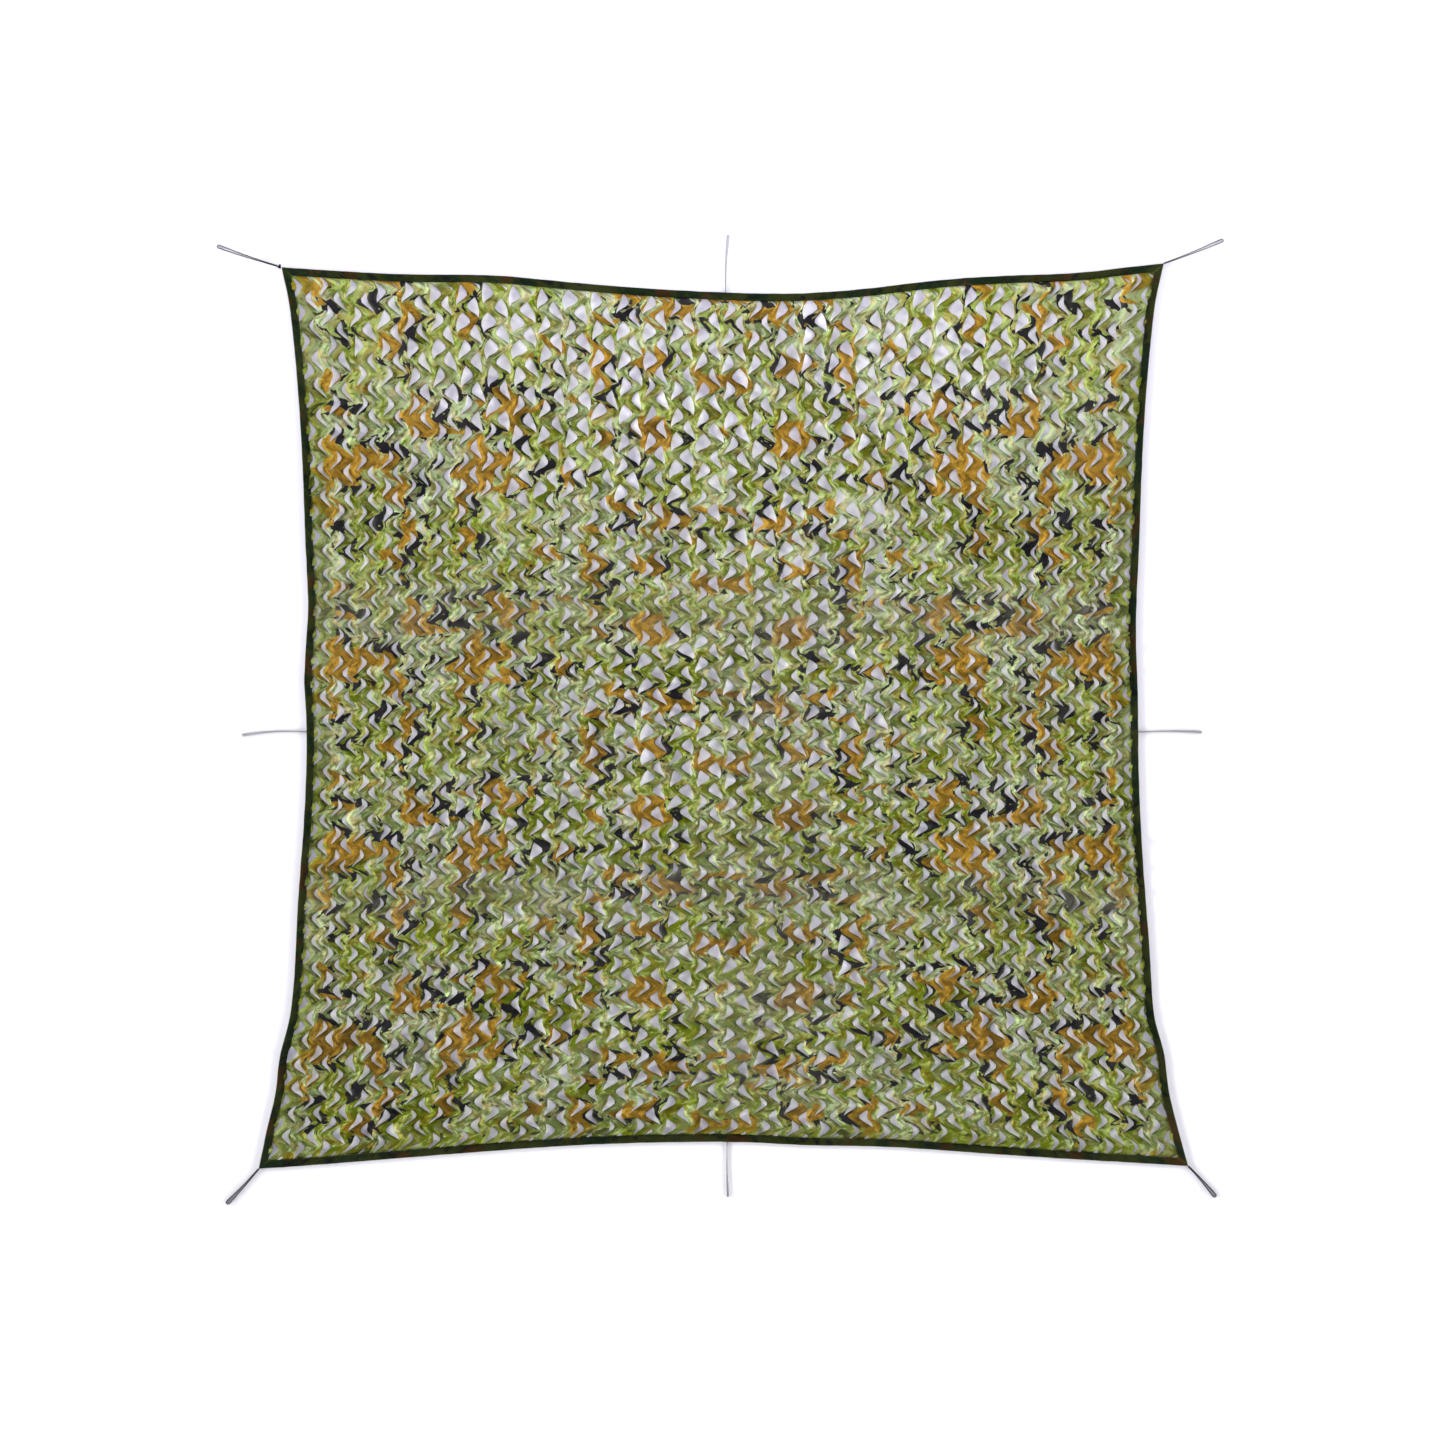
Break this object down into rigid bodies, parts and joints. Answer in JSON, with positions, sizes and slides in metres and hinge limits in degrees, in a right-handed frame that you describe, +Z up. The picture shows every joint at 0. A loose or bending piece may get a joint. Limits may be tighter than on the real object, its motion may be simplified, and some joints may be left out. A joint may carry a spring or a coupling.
{
  "type": "camouflage net",
  "caption": "Square leaf-cut camouflage net, stretched flat with bowed-in sides, a folded edging tape round it and doubled cord tie loops at its corners and mid-sides.",
  "frame": {"origin": "on the ground under the middle of the net's plan, its ties left out", "axes": "+Z up from the ground, +Y towards the side that is the top one in the face-on view, +X to the right in that view"},
  "size_m": [3.3427, 3.2189, 0.009],
  "materials": {
    "net_cloth": "matt woven polyester printed in olive, sage, brown and black patches",
    "edging_tape": "matt woven tape printed in dark green, brown and black",
    "dark_cord": "braided cord, near black",
    "olive_cord": "braided cord, olive grey",
    "side_cord": "thin braided cord, grey"
  },
  "bodies": {
    "root": {"net_cloth": "net_cloth", "edging_top": "edging_tape", "edging_bottom": "edging_tape", "edging_left": "edging_tape", "edging_right": "edging_tape", "tie_top_left": "olive_cord", "tie_top_right": "olive_cord", "tie_bottom_left": "dark_cord", "tie_bottom_right": "dark_cord", "tie_top_middle": "side_cord", "tie_bottom_middle": "side_cord", "tie_left_middle": "side_cord", "tie_right_middle": "side_cord", "tie_knot_top_left": "dark_cord"}
  },
  "joints": []
}
